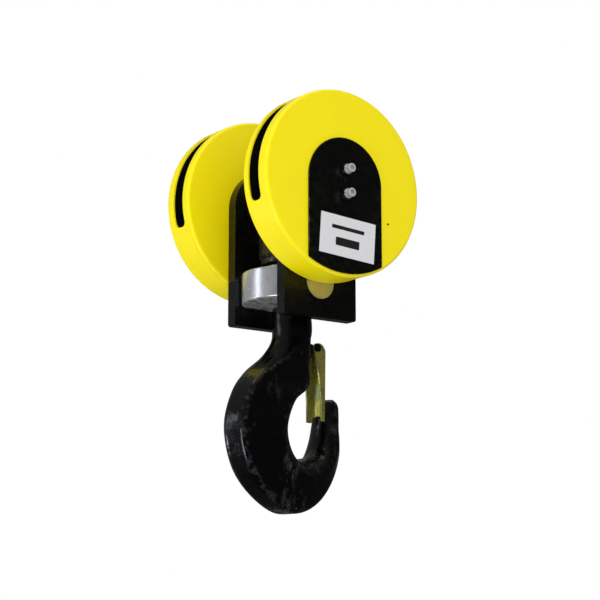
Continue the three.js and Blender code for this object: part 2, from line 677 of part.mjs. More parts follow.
const sleeveHalf = plateInner - FIT_GAP;
const sleeve = ringAlongY(AXLE_RADIUS + AXLE_FIT, SLEEVE_RADIUS, -sleeveHalf, sleeveHalf, INNER_ROUND);
const label = named('rating_plate', new THREE.BoxGeometry(LABEL.width, 1, LABEL.height), labelSheet());
label.position.set(LABEL.x, -endPlateOuter - FIT_GAP - 0.5, LABEL.z);
label.rotation.y = radians(LABEL.tilt);

const lowerWasher = ringAlongZ(43.8, THRUST_RADIUS, seatTop, seatTop + WASHER_HEIGHT, INNER_ROUND);

block.add(
  front,
  rear,
  named('sheave_axle', sheaveAxle(), bareSteel()),
  named('axle_sleeve', sleeve, paintedBlack()),
  label,
  named('crosshead', crosshead(), bareSteel()),
  named('thrust_washer_lower', lowerWasher, bearingSteel()),
);

const hookGroup = new THREE.Group();
hookGroup.rotation.z = radians(HOOK_TURN);
const upperWasherTo = upperWasherFrom + WASHER_HEIGHT;
const upperWasher = ringAlongZ(43.2, THRUST_RADIUS - 0.5, upperWasherFrom, upperWasherTo, INNER_ROUND);
hookGroup.add(
  named('hook', hook(), paintedBlack()),
  named('thrust_washer_upper', upperWasher, bearingSteel()),
  named('thrust_ball_cage', ballCage(), bearingSteel()),
  named('hook_nut', hookNut(), bareSteel()),
  named('nut_lock_bar', lockBar(), zincPlated()),
);
for (const [place, direction] of [['tip_side', 1], ['back_side', -1]]) {
  const screw = named(`lock_screw_${place}`, lockScrew(), zincPlated());
  screw.position.x = direction * LOCK_SCREW_AT;
  hookGroup.add(screw);
}

const latchGroup = new THREE.Group();
latchGroup.position.set(LATCH_PIVOT.u, 0, LATCH_PIVOT.z);
latchGroup.add(
  named('safety_latch', latchChannel(), yellowZinc()),
  named('latch_bolt', latchBolt(), paintedBlack()),
  named('latch_nut', latchNut(), zincPlated()),
  named('latch_spring', latchSpring(), bearingSteel()),
);
hookGroup.add(latchGroup);
block.add(hookGroup);

export default block;
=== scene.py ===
"""Looks for a four-fall crane hook block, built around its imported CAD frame. Metres, +Z up."""
import json
import math

import bmesh
import bpy
from mathutils import Matrix, Vector


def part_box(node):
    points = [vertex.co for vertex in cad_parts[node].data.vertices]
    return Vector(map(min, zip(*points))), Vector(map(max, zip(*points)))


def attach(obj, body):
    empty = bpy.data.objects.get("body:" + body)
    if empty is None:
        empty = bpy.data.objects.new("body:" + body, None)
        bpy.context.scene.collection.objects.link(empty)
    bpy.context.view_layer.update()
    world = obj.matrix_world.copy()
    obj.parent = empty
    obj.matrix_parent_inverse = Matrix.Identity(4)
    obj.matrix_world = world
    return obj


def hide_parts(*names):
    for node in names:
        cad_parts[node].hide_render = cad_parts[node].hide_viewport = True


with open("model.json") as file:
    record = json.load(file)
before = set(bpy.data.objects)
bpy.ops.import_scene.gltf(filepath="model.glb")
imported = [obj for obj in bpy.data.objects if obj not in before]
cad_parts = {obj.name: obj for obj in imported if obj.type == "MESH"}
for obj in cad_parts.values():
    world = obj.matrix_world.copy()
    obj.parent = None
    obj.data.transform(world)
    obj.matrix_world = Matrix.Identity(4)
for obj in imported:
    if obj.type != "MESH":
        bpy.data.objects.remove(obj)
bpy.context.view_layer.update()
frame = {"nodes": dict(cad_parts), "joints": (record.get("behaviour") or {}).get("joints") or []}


def joint(name):
    return next(row for row in frame["joints"] if row["name"] == name)


# ---- sizes ----
MM = 0.001
FINE = 160                      # facets on a large round piece
MEDIUM = 96                     # facets on a round piece that is partly hidden
GAP = 0.3 * MM                  # room between pieces that touch
ENDS = ("front", "rear")

COVER_SHEET = 4 * MM
COVER_EDGE = 8 * MM
COVER_LIP = 8 * MM
SLOT_WIDTH = 42 * MM
SLOT_CORNER = 14 * MM
SLOT_ANGLES = (math.radians(-17), math.radians(60))
PLATE_CORNER = 7 * MM
DRAIN = Vector((-131 * MM, 0, -83 * MM))
DRAIN_RADIUS = 3 * MM

TAP_DEPTH = 45 * MM
SCREW_SHANK = 6.8 * MM
SCREW_HOLE = 7.5 * MM
SCREW_HEAD = 10.5 * MM
SCREW_SOCKET = 12 * MM          # across the flats
SCREW_SOCKET_DEPTH = 7 * MM

AXLE_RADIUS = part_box("sheave_axle")[1].x
AXLE_BOLT_OFFSET = sum(corner.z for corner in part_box("axle_washer_upper_rear")) / 2
BEARING_BORE = 63 * MM          # inner radius of a bearing's outer ring
ROPE_LINE = 187 * MM
GROOVE_RADIUS = 9.54 * MM

TRUNNION_AT = Vector(joint("crosshead_tilt")["pos_m"])
TRUNNION_RADIUS = 37 * MM
SHANK_BORE = 43.5 * MM          # radius of the crosshead's bore
THRUST_RECESS = 75.3 * MM       # radius of the recess that the thrust bearing lies in
JOURNAL_RADIUS = 42.5 * MM
THREAD_RADIUS = 40 * MM
NUT_RADIUS = 79 * MM

latch_x, latch_y, _ = joint("latch_open")["axis"]
HOOK_TURN = math.atan2(-latch_x, latch_y)
LATCH_PIVOT = Matrix.Rotation(-HOOK_TURN, 4, "Z") @ Vector(joint("latch_open")["pos_m"])
BOWL_HEIGHT = -570 * MM
PIVOT_RADIUS = 6 * MM
LATCH_SHEET = 4 * MM
LATCH_HALF_WIDTH = 24 * MM
NOSE_HALF_WIDTH = 12 * MM

# Pieces of a side are drawn for the rear, and the hook's and latch's in the hook's own plane.
TURNED_TO = {"front": Matrix.Rotation(math.pi, 4, "Z"), "rear": Matrix()}
WITH_HOOK = Matrix.Rotation(HOOK_TURN, 4, "Z")
AT_PIVOT = WITH_HOOK @ Matrix.Translation((LATCH_PIVOT.x, 0, LATCH_PIVOT.z))
UPRIGHT = Matrix.Rotation(math.pi / 2, 4, "X")


def span_y(node):
    """(nearest, furthest) distance of a node of the rear side from the middle of the block, along Y."""
    low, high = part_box(node)
    return low.y, high.y


# ---- materials ----
def set_range(node, *values):
    for socket, value in zip(("From Min", "From Max", "To Min", "To Max"), values):
        node.inputs[socket].default_value = value


class Material:
    """A node material on one Principled shader, with the helpers that its textures need."""

    def __init__(self, name, colour, roughness, metallic=0.0, coat=0.0, specular=0.5):
        self.data = bpy.data.materials.new(name)
        self.data.use_nodes = True
        self.tree = self.data.node_tree
        self.shader = self.tree.nodes["Principled BSDF"]
        self.shader.inputs["Base Color"].default_value = (*colour, 1)
        self.shader.inputs["Roughness"].default_value = roughness
        self.shader.inputs["Metallic"].default_value = metallic
        self.shader.inputs["Specular IOR Level"].default_value = specular
        self.shader.inputs["Coat Weight"].default_value = coat
        self.shader.inputs["Coat Roughness"].default_value = 0.08
        self.place = self.node("ShaderNodeTexCoord").outputs["Object"]
        self.height = None

    def node(self, kind, **settings):
        made = self.tree.nodes.new(kind)
        for key, value in settings.items():
            setattr(made, key, value)
        return made

    def link(self, output, socket):
        self.tree.links.new(output, socket)

    def noise(self, scale, detail, stretch=(1, 1, 1)):
        mapping = self.node("ShaderNodeMapping")
        mapping.inputs["Scale"].default_value = stretch
        self.link(self.place, mapping.inputs["Vector"])
        texture = self.node("ShaderNodeTexNoise")
        texture.inputs["Scale"].default_value = scale
        texture.inputs["Detail"].default_value = detail
        self.link(mapping.outputs["Vector"], texture.inputs["Vector"])
        return texture.outputs["Fac"]

    def ramp(self, factor, low, high, start=0.0, end=1.0):
        """factor, rescaled so that low..high becomes start..end."""
        made = self.node("ShaderNodeMapRange")
        set_range(made, low, high, start, end)
        self.link(factor, made.inputs["Value"])
        return made.outputs["Result"]

    def tint(self, factor, colour):
        """Mixes another colour over the base colour by factor."""
        mix = self.node("ShaderNodeMix", data_type="RGBA")
        base = self.shader.inputs["Base Color"]
        if base.is_linked:
            self.link(base.links[0].from_socket, mix.inputs[6])
        else:
            mix.inputs[6].default_value = base.default_value
        mix.inputs[7].default_value = (*colour, 1)
        self.link(factor, mix.inputs[0])
        self.link(mix.outputs[2], base)

    def blotches(self, scale, detail, low, high, strength, colour):
        """Patches of another colour where noise rises from low to high."""
        self.tint(self.ramp(self.noise(scale, detail), low, high, 0, strength), colour)

    def vary_roughness(self, scale, detail, low, high):
        varied = self.ramp(self.noise(scale, detail), 0.3, 0.7, low, high)
        self.link(varied, self.shader.inputs["Roughness"])

    def bump(self, height, depth):
        made = self.node("ShaderNodeBump")
        made.inputs["Strength"].default_value = 1.0
        made.inputs["Distance"].default_value = depth
        self.link(height, made.inputs["Height"])
        if self.height:
            self.link(self.height, made.inputs["Normal"])
        self.height = made.outputs["Normal"]
        self.link(self.height, self.shader.inputs["Normal"])

    def both(self, first, second):
        """Where two masks overlap."""
        made = self.node("ShaderNodeMath", operation="MULTIPLY")
        self.link(first, made.inputs[0])
        self.link(second, made.inputs[1])
        return made.outputs[0]

    def edge_wear_and_highlight(self, colour, start=0.53, end=0.6):
        """A lighter colour on the outward edges, broken up by noise: real wear on oiled steel, a painted
        sheen on black paint and a painted highlight on the hook.
        """
        edge = self.ramp(self.node("ShaderNodeNewGeometry").outputs["Pointiness"], start, end)
        self.tint(self.both(edge, self.ramp(self.noise(70, 5), 0.48, 0.62)), colour)

    def rings(self, axis, pitch, depth):
        """Fine turning marks: circles about an axis direction."""
        wave = self.node("ShaderNodeTexWave", wave_type="RINGS", rings_direction=axis)
        wave.inputs["Scale"].default_value = 1 / pitch
        wave.inputs["Distortion"].default_value = 0.6
        self.link(self.place, wave.inputs["Vector"])
        self.bump(wave.outputs["Fac"], depth)


def yellow_paint():
    made = Material("yellow_paint", (0.9, 0.755, 0.003), 0.34, specular=0.32)
    made.blotches(9, 3, 0.4, 0.75, 0.16, (0.78, 0.62, 0.005))
    made.blotches(140, 6, 0.72, 0.82, 0.2, (0.55, 0.45, 0.02))
    made.vary_roughness(25, 4, 0.28, 0.42)
    made.bump(made.noise(700, 2), 0.00006)
    return made.data


def black_paint():
    made = Material("black_paint", (0.0022, 0.0021, 0.0018), 0.26, coat=0.05, specular=0.35)
    made.blotches(16, 4, 0.5, 0.8, 0.4, (0.005, 0.005, 0.0035))
    made.vary_roughness(32, 5, 0.2, 0.36)
    made.bump(made.noise(520, 3), 0.00007)
    # Lighter olive edges: a painted sheen.
    made.edge_wear_and_highlight((0.07, 0.07, 0.055))
    return made.data


def hook_paint():
    """Paint over a forged surface: scale pits, soft dents and rubbed places, with a painted highlight on its
    ridges.
    """
    made = Material("hook_paint", (0.0012, 0.0012, 0.0013), 0.2, specular=0.42)
    made.vary_roughness(40, 5, 0.1, 0.28)
    rubbed = made.ramp(made.noise(11, 3), 0.54, 0.7)
    scuffs = made.ramp(made.noise(48, 7, (1, 1, 0.5)), 0.54, 0.66)
    made.tint(made.both(rubbed, scuffs), (0.035, 0.035, 0.037))
    made.tint(made.both(rubbed, made.ramp(made.noise(120, 6, (1, 1, 0.4)), 0.62, 0.72)), (0.12, 0.12, 0.12))
    made.bump(made.noise(18, 3), 0.003)
    made.bump(made.noise(70, 4), 0.0008)
    made.bump(made.noise(420, 3), 0.00012)
    # Bluish white on the ridges: a painted highlight.
    made.edge_wear_and_highlight((0.17, 0.18, 0.22), 0.504, 0.58)
    return made.data


def inside_painted_shade():
    """The covers' insides: painted shade, nearly black, so that the rope slots look dark."""
    made = Material("inside_painted_shade", (0.006, 0.0065, 0.008), 0.42)
    made.blotches(30, 5, 0.45, 0.75, 0.6, (0.016, 0.015, 0.011))
    made.vary_roughness(60, 5, 0.3, 0.55)
    made.bump(made.noise(300, 4), 0.0001)
    return made.data


def oiled_steel():
    """Blackened steel under old oil."""
    made = Material("oiled_steel", (0.03, 0.03, 0.026), 0.34, metallic=0.75)
    made.blotches(70, 5, 0.45, 0.72, 0.6, (0.07, 0.065, 0.045))
    made.vary_roughness(90, 5, 0.26, 0.46)
    made.bump(made.noise(400, 4), 0.00008)
    made.edge_wear_and_highlight((0.16, 0.155, 0.13))
    return made.data


def machined_steel():
    made = Material("machined_steel", (0.84, 0.845, 0.88), 0.28, metallic=0.88)
    made.blotches(24, 5, 0.45, 0.75, 0.5, (0.5, 0.5, 0.51))
    made.vary_roughness(60, 5, 0.26, 0.34)
    made.rings("Z", 1.1 * MM, 0.00005)
    made.bump(made.noise(200, 2, (1, 1, 0.2)), 0.00003)
    return made.data


def rough_steel():
    made = Material("rough_steel", (0.5, 0.51, 0.47), 0.5, metallic=0.6)
    made.blotches(45, 6, 0.45, 0.62, 0.85, (0.1, 0.105, 0.08))
    made.blotches(110, 4, 0.5, 0.62, 0.6, (0.7, 0.71, 0.68))
    made.vary_roughness(70, 5, 0.4, 0.65)
    made.bump(made.noise(45, 6), 0.0012)
    made.bump(made.noise(120, 6), 0.0005)
    return made.data


def turned_steel(name, colour, roughness, axis, metallic=1.0):
    made = Material(name, colour, roughness, metallic=metallic)
    made.blotches(80, 5, 0.5, 0.75, 0.4, tuple(0.6 * c for c in colour))
    made.vary_roughness(90, 4, roughness - 0.06, roughness + 0.1)
    made.rings(axis, 0.8 * MM, 0.00003)
    return made.data


def zinc_plate():
    made = Material("zinc_plate", (0.66, 0.68, 0.71), 0.28, metallic=0.45)
    made.blotches(260, 5, 0.45, 0.7, 0.45, (0.46, 0.47, 0.5))
    made.vary_roughness(180, 5, 0.18, 0.38)
    made.bump(made.noise(400, 2), 0.00003)
    return made.data


def yellow_zinc():
    """Yellow passivated zinc, whose film shifts between gold, olive and green."""
    made = Material("yellow_zinc", (0.56, 0.5, 0.1), 0.26, metallic=0.72)
    made.blotches(22, 3, 0.42, 0.62, 0.75, (0.26, 0.32, 0.13))
    made.blotches(34, 4, 0.56, 0.72, 0.6, (0.56, 0.4, 0.14))
    made.vary_roughness(120, 5, 0.22, 0.42)
    made.bump(made.noise(300, 2), 0.00004)
    return made.data


def end_painted_reflection():
    """A turned end face, gold as a painted reflection of the yellow covers."""
    made = Material("end_painted_reflection", (0.56, 0.47, 0.11), 0.36, metallic=0.3)
    made.blotches(50, 5, 0.45, 0.7, 0.5, (0.44, 0.36, 0.09))
    made.rings("Y", 1.2 * MM, 0.00006)
    return made.data


def cast_iron():
    made = Material("cast_iron", (0.05, 0.052, 0.056), 0.5, metallic=0.7)
    made.blotches(30, 5, 0.45, 0.7, 0.7, (0.02, 0.021, 0.024))
    made.vary_roughness(50, 5, 0.34, 0.6)
    made.bump(made.noise(260, 5), 0.0002)
    return made.data


def label_sheet():
    made = Material("label_sheet", (0.68, 0.68, 0.7), 0.42, coat=0.15)
    made.blotches(120, 5, 0.45, 0.75, 0.3, (0.6, 0.6, 0.61))
    made.bump(made.noise(800, 2), 0.00002)
    return made.data


def label_ink():
    made = Material("label_ink", (0.012, 0.012, 0.013), 0.5)
    made.blotches(500, 4, 0.55, 0.75, 0.5, (0.05, 0.05, 0.05))
    return made.data


def floor_surface():
    made = Material("floor_surface", (0.82, 0.82, 0.81), 0.7)
    made.blotches(3, 3, 0.4, 0.7, 0.3, (0.76, 0.76, 0.75))
    return made.data


YELLOW = yellow_paint()
BLACK = black_paint()
HOOK_BLACK = hook_paint()
INSIDE_SHADE = inside_painted_shade()
OILED = oiled_steel()
MACHINED = machined_steel()
ROUGH = rough_steel()
BEARING = turned_steel("bearing_steel", (0.6, 0.61, 0.62), 0.2, "Y")
TURNED = turned_steel("turned_steel", (0.46, 0.47, 0.48), 0.3, "Z")
BRONZE = turned_steel("bronze", (0.7, 0.6, 0.3), 0.34, "Y", 0.4)
ZINC = zinc_plate()
YELLOW_ZINC = yellow_zinc()
END_REFLECTION = end_painted_reflection()
CAST = cast_iron()
LABEL = label_sheet()
INK = label_ink()

# ---- mesh helpers ----
def placed(name, data):
    made = bpy.data.objects.new(name, data)
    bpy.context.scene.collection.objects.link(made)
    return made


def object_from(name, build):
    mesh = bpy.data.meshes.new(name)
    build.to_mesh(mesh)
    build.free()
    return placed(name, mesh)


def arc(centre, radius, start, end, steps):
    """Points of an arc, given in degrees, as (first, second) coordinates."""
    turns = [math.radians(start + (end - start) * i / steps) for i in range(steps + 1)]
    return [(centre[0] + radius * math.cos(t), centre[1] + radius * math.sin(t)) for t in turns]


def with_guard_rings(profile, closed):
    """The profile with a point near both ends of each long stretch, which keeps the edge wear and painted
    sheen at the edges.
    """
    reach = 3 * MM
    points = []
    for start, stop in zip(profile, profile[1:] + profile[:closed]):
        points.append(start)
        length = math.dist(start, stop)
        if length > 4 * reach:
            for share in (reach / length, 1 - reach / length):
                points.append(tuple(a + (b - a) * share for a, b in zip(start, stop)))
    return points if closed else points + [profile[-1]]


def revolve(name, profile, axis="Y", facets=FINE, closed=True):
    """A body of revolution from (radius, along) points. An open profile starts and ends on the axis."""
    build = bmesh.new()
    rings = []
    for radius, along in with_guard_rings(profile, closed):
        if radius < 1e-6:
            rings.append([build.verts.new((0, along, 0))])
            continue
        turns = [2 * math.pi * i / facets for i in range(facets)]
        points = [(radius * math.cos(t), along, radius * math.sin(t)) for t in turns]
        rings.append([build.verts.new(point) for point in points])
    pairs = list(zip(rings, rings[1:]))
    if closed:
        pairs.append((rings[-1], rings[0]))
    for low, high in pairs:
        for i in range(facets):
            j = (i + 1) % facets
            corners = [low[i % len(low)], low[j % len(low)], high[j % len(high)], high[i % len(high)]]
            build.faces.new(list(dict.fromkeys(corners)))
    bmesh.ops.recalc_face_normals(build, faces=build.faces)
    made = object_from(name, build)
    if axis == "Z":
        made.data.transform(UPRIGHT)
    return made


def slab(name, outline, low, high):
    """An outline of (x, z) points, given thickness along Y."""
    build = bmesh.new()
    near = [build.verts.new((x, low, z)) for x, z in outline]
    far = [build.verts.new((x, high, z)) for x, z in outline]
    build.faces.new(near)
    build.faces.new(list(reversed(far)))
    for i in range(len(outline)):
        j = (i + 1) % len(outline)
        build.faces.new([near[i], far[i], far[j], near[j]])
    bmesh.ops.recalc_face_normals(build, faces=build.faces)
    return object_from(name, build)


def rectangle(x_low, z_low, x_high, z_high):
    return [(x_low, z_low), (x_high, z_low), (x_high, z_high), (x_low, z_high)]


def rod(name, radius, low, high, centre=(0, 0), facets=48):
    """A plain cylinder along Y, used to cut holes."""
    made = revolve(name, [(0, low), (radius, low), (radius, high), (0, high)], facets=facets, closed=False)
    made.data.transform(Matrix.Translation((centre[0], 0, centre[1])))
    return made


def chamfered_rod(name, radius, low, high, edge, facets=FINE):
    """A cylinder along Y with both its end edges turned off."""
    return revolve(name, [
        (0, low), (radius - edge, low), (radius, low + edge),
        (radius, high - edge), (radius - edge, high), (0, high),
    ], facets=facets, closed=False)


def applied(obj):
    """Turns an object's modifiers into its mesh."""
    mesh = bpy.data.meshes.new_from_object(obj.evaluated_get(bpy.context.evaluated_depsgraph_get()))
    obj.modifiers.clear()
    old = obj.data
    obj.data = mesh
    bpy.data.meshes.remove(old)
    return obj


def combine(obj, others, operation="DIFFERENCE"):
    for other in others:
        cutter = obj.modifiers.new("combine", "BOOLEAN")
        cutter.operation = operation
        cutter.solver = "EXACT"
        cutter.object = other
    applied(obj)
    for other in others:
        bpy.data.objects.remove(other)
    return obj


def bevelled(obj, width, segments, angle):
    bevel = obj.modifiers.new("bevel", "BEVEL")
    bevel.width = width
    bevel.segments = segments
    bevel.limit_method = "ANGLE"
    bevel.angle_limit = math.radians(angle)
    return applied(obj)


def smooth(obj, angle=32):
    """Smooth shading that keeps flat faces flat and real corners crisp."""
    mesh = obj.data
    mesh.polygons.foreach_set("use_smooth", [True] * len(mesh.polygons))
    mesh.set_sharp_from_angle(angle=math.radians(angle))
    weighted = obj.modifiers.new("normals", "WEIGHTED_NORMAL")
    weighted.keep_sharp = True
    return applied(obj)


def use(obj, *materials):
    obj.data.materials.clear()
    for material in materials:
        obj.data.materials.append(material)
    return obj


def paint_faces(obj, index, wanted):
    for face in obj.data.polygons:
        if wanted(face):
            face.material_index = index


def settle(obj, body, slot, *nodes):
    """Makes a finished piece ride on its body and stand for its CAD nodes."""
    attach(obj, body)
    if nodes:
        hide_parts(*nodes)
    return obj


def finished(obj, material, body, slot, *nodes, at=Matrix(), angle=32):
    """Shades a piece, moves it from where it was drawn to its place, and settles it."""
    smooth(obj, angle)
    obj.data.transform(at)
    return settle(use(obj, material), body, slot, *nodes)


def ring_profile(inner, outer, low, high, edge):
    """A ring's section with its four corners rounded off."""
    return [
        (inner, low + edge), (inner + edge, low), (outer - edge, low), (outer, low + edge),
        (outer, high - edge), (outer - edge, high), (inner + edge, high), (inner, high - edge),
    ]


# ---- covers ----
def rope_slot(side, radius, middle):
    """A cutter for one slot: a band with rounded corners, drawn flat and rolled onto the rim."""
    corner = SLOT_CORNER
    half = SLOT_WIDTH / 2
    inset = half - corner
    low, high = (angle * radius for angle in SLOT_ANGLES)
    low += corner
    high -= corner
    steps = 40
    straight = [low + (high - low) * i / steps for i in range(steps + 1)]
    top = arc((high, inset), corner, 90, 0, 8)[1:] + arc((high, -inset), corner, 0, -90, 8)[:-1]
    bottom = arc((low, -inset), corner, -90, -180, 8)[1:] + arc((low, inset), corner, -180, -270, 8)[:-1]
    outline = [(s, half) for s in straight] + top + [(s, -half) for s in reversed(straight)] + bottom
    build = bmesh.new()
    layers = []
    for reach in (radius - 9 * MM, radius + 6 * MM):        # well past the rim on both sides
        points = []
        for along, across in outline:
            angle = along / radius
            place = (side * reach * math.cos(angle), middle + across, reach * math.sin(angle))
            points.append(build.verts.new(place))
        layers.append(points)
    inner, outer = layers
    count = len(outline)
    back = 2 * steps + 1 + len(top)
    for i in range(count):
        j = (i + 1) % count
        build.faces.new([inner[i], inner[j], outer[j], outer[i]])
    # The two long sides have the same number of points, so each cap is a ladder with a fan at each end.
    for points in layers:
        for i in range(steps):
            build.faces.new([points[i], points[i + 1], points[back - 1 - i], points[back - i]])
        build.faces.new(points[steps:back - steps + 1])
        build.faces.new(points[back:] + points[:1])
    bmesh.ops.recalc_face_normals(build, faces=build.faces)
    return object_from("slot_cutter", build)


def paint_inside_shade(shell, radius, outward):
    """Painted shade, nearly black, on the faces that look into the cover; outward is the way its flat face
    looks.
    """
    limit = radius - COVER_SHEET + 0.4 * MM

    def looks_in(face):
        across = math.hypot(face.center.x, face.center.z)
        radial = face.center.x * face.normal.x + face.center.z * face.normal.z
        return across < limit and (outward * face.normal.y < -0.3 or radial < -0.3 * across)

    paint_faces(shell, 1, looks_in)


def outer_cover(end):
    low, high = span_y("cover_outer_half_rear")
    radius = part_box("cover_outer_half_rear")[1].x
    edge_at = (radius - COVER_EDGE, high - COVER_EDGE)
    shell = revolve(f"outer_cover_{end}", [
        (0, high - COVER_SHEET),
        *arc(edge_at, COVER_EDGE - COVER_SHEET, 90, 0, 8),
        (radius - COVER_SHEET, low), (radius, low),
        *arc(edge_at, COVER_EDGE, 0, 90, 12),
        (0, high),
    ], closed=False)
    middle = sum(span_y("sheave_rear")) / 2
    cutters = [rope_slot(side, radius, middle) for side in (1, -1)]
    drain_at = (DRAIN.x, DRAIN.z)
    cutters.append(rod("drain_cutter", DRAIN_RADIUS, high - 2 * COVER_SHEET, high + MM, drain_at, 24))
    combine(shell, cutters)
    bevelled(shell, 1.2 * MM, 2, 50)
    smooth(shell)
    # The faces inside the cover take the painted shade.
    use(shell, YELLOW, INSIDE_SHADE)
    paint_inside_shade(shell, radius, 1)
    shell.data.transform(TURNED_TO[end])
    return settle(shell, "frame", "yellow_paint", f"cover_outer_half_{end}")


def inner_cover(end):
    low, _ = span_y("cover_inner_half_rear")
    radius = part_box("cover_inner_half_rear")[1].x
    seam = span_y("cover_outer_half_rear")[0] - GAP
    lip = radius - COVER_SHEET - GAP
    edge_at = (radius - COVER_EDGE, low + COVER_EDGE)
    shell = revolve(f"inner_cover_{end}", [
        (AXLE_RADIUS + 2 * GAP, low),
        *arc(edge_at, COVER_EDGE, -90, 0, 12),
        (radius, seam - 0.8 * MM), (radius - 0.8 * MM, seam), (lip, seam),
        (lip, seam + COVER_LIP), (lip - COVER_SHEET, seam + COVER_LIP), (lip - COVER_SHEET, edge_at[1]),
        (edge_at[0], low + COVER_SHEET),
        (AXLE_RADIUS + 2 * GAP, low + COVER_SHEET),
    ])
    smooth(shell)
    # The faces inside the cover take the painted shade.
    use(shell, YELLOW, INSIDE_SHADE)
    paint_inside_shade(shell, radius, -1)
    shell.data.transform(TURNED_TO[end])
    return settle(shell, "frame", "yellow_paint", f"cover_inner_half_{end}")


# ---- plates, axle and its fasteners ----
def side_plate(end):
    low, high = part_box("side_plate_rear")
    radius = high.x
    corner_x, corner_z = radius - PLATE_CORNER, low.z + PLATE_CORNER
    outline = [
        *arc((0, high.z - radius), radius, 0, 180, 96),
        *arc((-corner_x, corner_z), PLATE_CORNER, 180, 270, 12),
        *arc((corner_x, corner_z), PLATE_CORNER, 270, 360, 12),
    ]
    plate = slab(f"thick_plate_{end}", outline, low.y, high.y)
    trunnion = (TRUNNION_AT.x, TRUNNION_AT.z)
    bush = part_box("trunnion_bush_rear")[1].x
    combine(plate, [
        rod("axle_bore", AXLE_RADIUS + GAP, low.y - MM, high.y + MM, facets=MEDIUM),
        rod("bush_bore", bush + GAP, low.y - MM, high.y + MM, trunnion, MEDIUM),
    ])
    bevelled(plate, 1.4 * MM, 3, 50)
    return finished(plate, BLACK, "frame", "black_paint", f"side_plate_{end}", at=TURNED_TO[end])


def end_plate(end):
    low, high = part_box("end_plate_rear")
    half = high.x
    foot = -low.z
    foot_angle = math.degrees(math.acos(half / foot))
    outline = [*arc((0, 0), half, 0, 180, 96), *arc((0, 0), foot, 180 + foot_angle, 360 - foot_angle, 48)]
    plate = slab(f"arched_plate_{end}", outline, low.y, high.y)
    combine(plate, [
        rod("bolt_cutter", SCREW_HOLE, low.y - MM, high.y + MM, (0, side * AXLE_BOLT_OFFSET))
        for side in (1, -1)
    ])
    bevelled(plate, 0.9 * MM, 3, 50)
    return finished(plate, BLACK, "frame", "black_paint", f"end_plate_{end}", at=TURNED_TO[end])


def hexagon(corner):
    turns = [i * math.pi / 3 for i in range(6)]
    return [(corner * math.cos(turn), corner * math.sin(turn)) for turn in turns]


def hexagon_head(name, across_corners, low, high):
    """A hexagon whose outer corners are turned off to a cone, as on a real bolt or nut."""
    corner = across_corners / 2
    flat = corner * math.cos(math.pi / 6)
    body = slab(name, hexagon(corner), low, high)
    limit = revolve("turned_limit", [
        (0, low - MM), (corner + MM, low - MM), (corner + MM, high - 2.2 * MM),
        (flat - 0.4 * MM, high), (0, high),
    ], facets=MEDIUM, closed=False)
    return combine(body, [limit], "INTERSECT")


def threaded(radius, pitch, low, high):
    """A thread's V profile as (radius, along) points, without its helix."""
    count = int((high - low) / pitch)
    points = []
    for i in range(count):
        points += [(radius, low + i * pitch), (radius - 0.6 * pitch, low + (i + 0.5) * pitch)]
    return points + [(radius, low + count * pitch), (radius - 0.5 * MM, high)]


def spring_washer(name, node):
    """A split lock washer, drawn on the axis: one flat turn with a slanting cut through it."""
    low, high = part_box(node)
    outer = (high.x - low.x) / 2
    ring = revolve(name, ring_profile(SCREW_HOLE, outer, low.y, high.y, 0.5 * MM), facets=64)
    half_gap = 1.2 * MM
    cutter = slab("split", rectangle(0, -half_gap, 2 * outer, half_gap), -10 * MM, 10 * MM)
    slant = Matrix.Rotation(math.radians(30), 4, "X")
    cutter.data.transform(Matrix.Translation((0, (low.y + high.y) / 2, 0)) @ slant)
    return combine(ring, [cutter])


def cap_screw(name, low, head_low, high):
    """A round-headed screw with a hexagon socket, drawn on the axis."""
    screw = revolve(name, [
        (0, low), (SCREW_SHANK - MM, low), (SCREW_SHANK, low + MM), (SCREW_SHANK, head_low),
        (SCREW_HEAD - 0.4 * MM, head_low), (SCREW_HEAD, head_low + 0.4 * MM),
        *arc((SCREW_HEAD - 1.4 * MM, high - 1.4 * MM), 1.4 * MM, 0, 90, 4),
        (0, high),
    ], facets=64, closed=False)
    outline = hexagon(SCREW_SOCKET / 2 / math.cos(math.pi / 6))
    combine(screw, [slab("socket", outline, high - SCREW_SOCKET_DEPTH, high + MM)])
    return bevelled(screw, 0.35 * MM, 2, 50)


def axle_bolts(end):
    for place, side in (("upper", 1), ("lower", -1)):
        low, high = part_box(f"axle_washer_{place}_rear")
        outer = (high.x - low.x) / 2
        profile = ring_profile(SCREW_HOLE, outer, low.y, high.y, 0.8 * MM)
        washer = revolve(f"washer_{place}_{end}", profile, facets=64)
        split_high = span_y(f"spring_washer_{place}_rear")[1]
        split = spring_washer(f"split_washer_{place}_{end}", f"spring_washer_{place}_rear")
        bolt_low, bolt_high = span_y(f"axle_bolt_{place}_rear")
        screw = cap_screw(f"screw_{place}_{end}", bolt_low, split_high + GAP, bolt_high)
        for piece, node, material, slot in (
            (washer, "axle_washer", BLACK, "black_paint"),
            (split, "spring_washer", ZINC, "zinc_plate"),
            (screw, "axle_bolt", ZINC, "zinc_plate"),
        ):
            piece.data.transform(Matrix.Translation((0, 0, side * AXLE_BOLT_OFFSET)))
            finished(piece, material, "frame", slot, f"{node}_{place}_{end}", at=TURNED_TO[end])


def turned_ring(end, name, node, bore, edge, material, slot, body="frame"):
    """A ring about the Y axis that takes its size and place from a CAD node of the rear side."""
    low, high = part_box(f"{node}_rear")
    outer = (high.x - low.x) / 2
    profile = ring_profile(bore, outer, low.y, high.y, edge)
    ring = revolve(f"{name}_{end}", profile, facets=MEDIUM)
    ring.data.transform(Matrix.Translation((0, 0, (low.z + high.z) / 2)))
    return finished(ring, material, body, slot, f"{node}_{end}", at=TURNED_TO[end])


